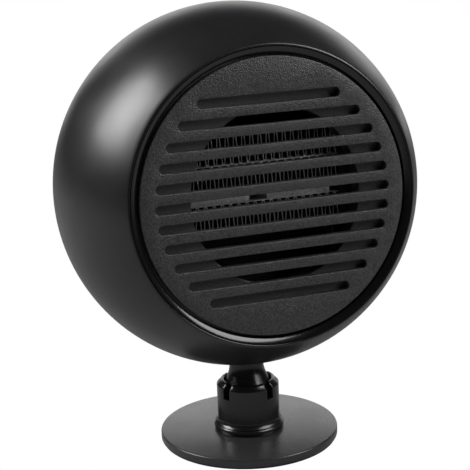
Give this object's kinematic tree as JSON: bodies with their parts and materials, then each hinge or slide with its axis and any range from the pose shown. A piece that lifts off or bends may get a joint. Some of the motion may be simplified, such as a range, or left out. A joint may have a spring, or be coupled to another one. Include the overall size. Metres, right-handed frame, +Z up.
{
  "type": "ceramic space heater",
  "caption": "Small round-headed ceramic fan heater with a flat slotted face, on a ball joint held by a four-finger post with a round foot.",
  "frame": {"origin": "centre of the foot pad's underside", "axes": "+Z up along the post; the slotted face looks along -Y, tilted up 4.6 degrees; +X to the right of someone who looks at the face"},
  "size_m": [0.123, 0.1024, 0.1506],
  "materials": {
    "pad_foam": "matt",
    "foot_plastic": "fine satin",
    "post_plastic": "semi gloss",
    "zinc_steel": "zinc plated",
    "nylon": "natural",
    "liner_felt": "pressed felt",
    "shell_plastic": "satin black",
    "bezel_plastic": "high gloss",
    "grille_plastic": "fine spark texture",
    "frame_plastic": "matt heat-resistant plastic",
    "fin_aluminium": "bright rolled",
    "stone_ceramic": "metallised ceramic",
    "thermostat_phenolic": "moulded",
    "fuse_case": "bright",
    "fan_plastic": "moulded",
    "bush_brass": "turned",
    "core_steel": "stamped",
    "coil_copper": "enamelled wire",
    "magnet_ferrite": "sintered",
    "switch_plastic": "moulded",
    "rocker_plastic": "semi gloss",
    "inlet_rubber": "matt",
    "wire_red": "insulated",
    "wire_grey": "insulated"
  },
  "bodies": {
    "base": {"base_pad": "pad_foam", "foot_disc": "foot_plastic", "foot_screw": "zinc_steel", "collet_post": "post_plastic"},
    "seat": {"ball_seat": "nylon"},
    "liner": {"ball_liner": "liner_felt"},
    "head": {"neck_stem": "post_plastic", "neck_washer": "zinc_steel", "neck_nut": "zinc_steel", "baffle_screws": "zinc_steel", "element_screws": "zinc_steel", "carrier_screws": "zinc_steel", "fan_screws": "zinc_steel", "rear_screws": "zinc_steel", "front_shell": "shell_plastic", "rear_cover": "shell_plastic", "bezel_ring": "bezel_plastic", "front_grille": "grille_plastic", "outlet_baffle": "grille_plastic", "element_frame": "frame_plastic", "element_carrier": "frame_plastic", "upper_fins": "fin_aluminium", "middle_fins": "fin_aluminium", "lower_fins": "fin_aluminium", "divider_strip": "fin_aluminium", "upper_electrode": "fin_aluminium", "lower_electrode": "fin_aluminium", "ceramic_stones": "stone_ceramic", "thermostat": "thermostat_phenolic", "thermal_fuse": "fuse_case", "fan_frame": "fan_plastic", "fan_bushes": "bush_brass", "switch_terminals": "bush_brass", "stator_core": "core_steel", "stator_coils": "coil_copper", "switch_body": "switch_plastic", "cord_inlet": "inlet_rubber", "element_wires": "wire_red", "fan_wires": "wire_grey"},
    "rotor": {"fan_rotor": "fan_plastic", "rotor_magnet": "magnet_ferrite", "rotor_shaft": "zinc_steel"},
    "rocker": {"switch_rocker": "rocker_plastic"}
  },
  "joints": [
    {"name": "head_swivel", "type": "hinge", "parent": "base", "child": "seat", "pos_m": [0, 0, 0.0169], "axis": [0, 0, 1], "continuous": true},
    {"name": "head_lean", "type": "hinge", "parent": "seat", "child": "liner", "pos_m": [0, 0, 0.0169], "axis": [0, 1, 0], "range_deg": [-9, 9]},
    {"name": "head_tilt", "type": "hinge", "parent": "liner", "child": "head", "pos_m": [0, 0, 0.0169], "axis": [-1, 0, 0], "range_deg": [-16, 7]},
    {"name": "fan_spin", "type": "hinge", "parent": "head", "child": "rotor", "pos_m": [0, 0.00581, 0.08907], "axis": [0, -0.9968, 0.0801], "continuous": true},
    {"name": "switch_rock", "type": "hinge", "parent": "head", "child": "rocker", "pos_m": [0, 0.06276, 0.08749], "axis": [1, 0, 0], "range_deg": [-12, 12]}
  ]
}
